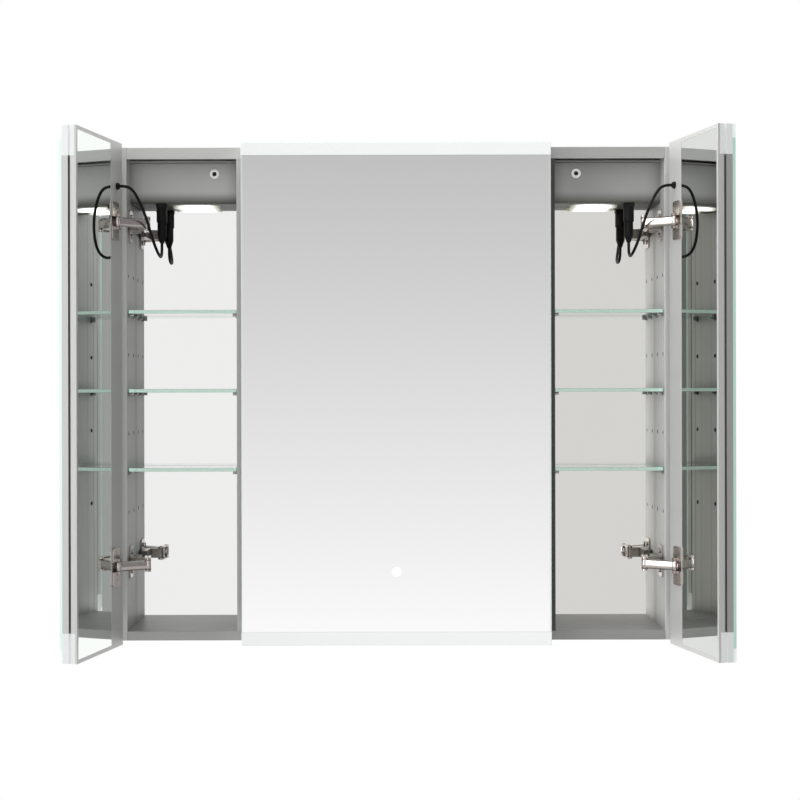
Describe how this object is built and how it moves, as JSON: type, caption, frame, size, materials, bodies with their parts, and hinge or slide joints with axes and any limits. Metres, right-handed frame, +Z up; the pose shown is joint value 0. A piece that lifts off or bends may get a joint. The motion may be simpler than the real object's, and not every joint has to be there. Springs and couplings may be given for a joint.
{
  "type": "mirrored medicine cabinet",
  "caption": "Wall-hung aluminium medicine cabinet with lit mirror doors on concealed hinges, glass shelves, mirrored back and a lamp box along the top.",
  "frame": {"origin": "the middle of the back face, on the wall", "axes": "+X to the right seen from in front, +Y into the wall, +Z up"},
  "size_m": [1.0262, 0.3165, 0.816],
  "materials": {
    "anodised_aluminium": "satin anodised",
    "light_box_paint": "satin grey powder coat",
    "mirror_glass": "polished silvered glass",
    "front_glass": "silvered glass with frosted bands",
    "shelf_glass": "clear float glass with polished edges",
    "frosted_acrylic": "frosted, lit from inside",
    "lamp_lens": "opal, lit from inside",
    "hinge_nickel": "nickel plated",
    "dark_pivot": "darkened steel",
    "screw_steel": "zinc plated",
    "black_plastic": "fine matt",
    "cable_sheath": "soft satin",
    "grommet_rubber": "matt",
    "sensor_ring": "gloss",
    "sensor_eye": "dark gloss",
    "touch_spot": "lit white",
    "backing_board": "matt",
    "circuit_board": "matt white",
    "driver_case": "matt",
    "pin_steel": "nickel plated"
  },
  "bodies": {
    "cabinet": {"back_panel": "anodised_aluminium", "top_panel": "anodised_aluminium", "bottom_panel": "anodised_aluminium", "side_wall_left": "anodised_aluminium", "side_wall_right": "anodised_aluminium", "partition_left": "anodised_aluminium", "partition_right": "anodised_aluminium", "back_mirror_left": "mirror_glass", "back_mirror_centre": "mirror_glass", "back_mirror_right": "mirror_glass", "light_box_left": "light_box_paint", "light_box_centre": "light_box_paint", "light_box_right": "light_box_paint", "light_lenses": "lamp_lens", "led_boards": "circuit_board", "led_driver": "driver_case", "sensor_bezels": "sensor_ring", "sensor_eyes": "sensor_eye", "shelves_left": "shelf_glass", "shelves_centre": "shelf_glass", "shelves_right": "shelf_glass", "shelf_pins": "pin_steel", "hinge_plates": "hinge_nickel", "hinge_arms": "dark_pivot", "hinge_screws": "screw_steel", "cable_sockets": "black_plastic", "cable_connectors": "black_plastic", "door_cable_left": "cable_sheath", "door_cable_right": "cable_sheath"},
    "left_door": {"left_front_mirror": "front_glass", "left_side_profiles": "anodised_aluminium", "left_diffusers": "frosted_acrylic", "left_backlight": "backing_board", "left_inner_frame": "anodised_aluminium", "left_inner_mirror": "mirror_glass", "left_hinge_cups": "hinge_nickel", "left_grommet": "grommet_rubber"},
    "left_swing": {"left_swing_links": "hinge_nickel"},
    "left_bar": {"left_bar_links": "hinge_nickel"},
    "centre_door": {"centre_front_mirror": "front_glass", "centre_side_profiles": "anodised_aluminium", "centre_diffusers": "frosted_acrylic", "centre_backlight": "backing_board", "centre_inner_frame": "anodised_aluminium", "centre_inner_mirror": "mirror_glass", "centre_hinge_cups": "hinge_nickel", "centre_touch_sensor": "touch_spot"},
    "centre_swing": {"centre_swing_links": "hinge_nickel"},
    "centre_bar": {"centre_bar_links": "hinge_nickel"},
    "right_door": {"right_front_mirror": "front_glass", "right_side_profiles": "anodised_aluminium", "right_diffusers": "frosted_acrylic", "right_backlight": "backing_board", "right_inner_frame": "anodised_aluminium", "right_inner_mirror": "mirror_glass", "right_hinge_cups": "hinge_nickel", "right_grommet": "grommet_rubber"},
    "right_swing": {"right_swing_links": "hinge_nickel"},
    "right_bar": {"right_bar_links": "hinge_nickel"}
  },
  "joints": [
    {"name": "left_door_hinge", "type": "hinge", "parent": "cabinet", "child": "left_door", "pos_m": [-0.4537, -0.1186, 0], "axis": [0, 0, 1], "range_deg": [-8.5, 101.5], "deforming": ["door_cable_left"]},
    {"name": "left_hinge_swing", "type": "hinge", "parent": "cabinet", "child": "left_swing", "pos_m": [-0.4097, -0.0886, 0], "axis": [0, 0, 1], "range_deg": [-8.5, 101.5]},
    {"name": "left_hinge_bar", "type": "hinge", "parent": "left_swing", "child": "left_bar", "pos_m": [-0.40514, -0.12188, 0], "axis": [0, 0, 1], "range_deg": [-101.5, 8.5]},
    {"name": "right_door_hinge", "type": "hinge", "parent": "cabinet", "child": "right_door", "pos_m": [0.4537, -0.1186, 0], "axis": [0, 0, -1], "range_deg": [-8.5, 101.5], "deforming": ["door_cable_right"]},
    {"name": "right_hinge_swing", "type": "hinge", "parent": "cabinet", "child": "right_swing", "pos_m": [0.4097, -0.0886, 0], "axis": [0, 0, -1], "range_deg": [-8.5, 101.5]},
    {"name": "right_hinge_bar", "type": "hinge", "parent": "right_swing", "child": "right_bar", "pos_m": [0.40514, -0.12188, 0], "axis": [0, 0, -1], "range_deg": [-101.5, 8.5]},
    {"name": "centre_door_hinge", "type": "hinge", "parent": "cabinet", "child": "centre_door", "pos_m": [-0.2523, -0.139, 0], "axis": [0, 0, -1], "range_deg": [0, 95]},
    {"name": "centre_hinge_swing", "type": "hinge", "parent": "cabinet", "child": "centre_swing", "pos_m": [-0.2242, -0.086, 0], "axis": [0, 0, -1], "range_deg": [0, 95]},
    {"name": "centre_hinge_bar", "type": "hinge", "parent": "centre_swing", "child": "centre_bar", "pos_m": [-0.1954, -0.0545, 0], "axis": [0, 0, -1], "range_deg": [-95, 0]}
  ],
  "couplings": [
    {"joint": "left_hinge_swing", "follows": "left_door_hinge", "ratio": 1},
    {"joint": "left_hinge_bar", "follows": "left_door_hinge", "ratio": -1},
    {"joint": "right_hinge_swing", "follows": "right_door_hinge", "ratio": 1},
    {"joint": "right_hinge_bar", "follows": "right_door_hinge", "ratio": -1},
    {"joint": "centre_hinge_swing", "follows": "centre_door_hinge", "ratio": 1},
    {"joint": "centre_hinge_bar", "follows": "centre_door_hinge", "ratio": -1}
  ]
}
